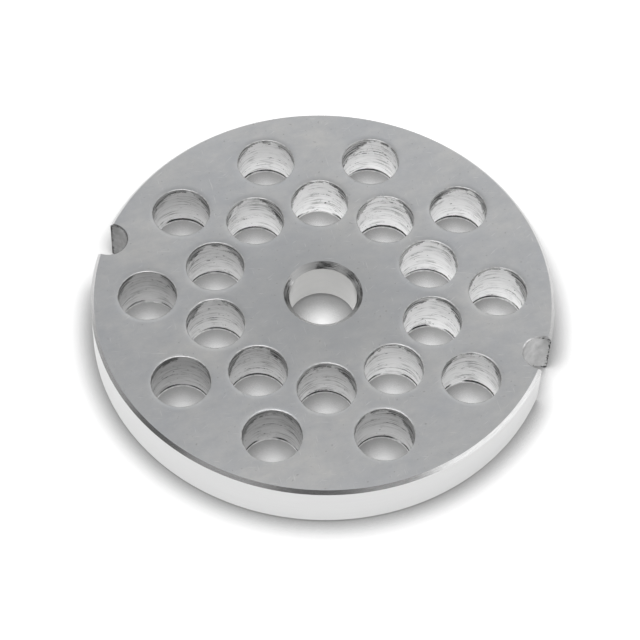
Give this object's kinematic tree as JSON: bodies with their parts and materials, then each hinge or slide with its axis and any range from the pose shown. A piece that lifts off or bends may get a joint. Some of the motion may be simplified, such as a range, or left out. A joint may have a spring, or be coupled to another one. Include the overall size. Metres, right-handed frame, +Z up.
{
  "type": "meat grinder plate",
  "caption": "Round steel meat grinder plate with a chamfered central bore, two staggered rings of cutting holes and two locating notches in its rim.",
  "frame": {"origin": "on the bore's axis, at the underside the plate rests on", "axes": "+Z up along the bore, +X towards the first locating notch, which is 1.3 degrees off it"},
  "size_m": [0.0818, 0.082, 0.0095],
  "materials": {
    "plate_steel": "satin ground faces and a smooth turned rim, with rough drilled hole walls"
  },
  "bodies": {
    "root": {"grinder_plate": "plate_steel"}
  },
  "joints": []
}
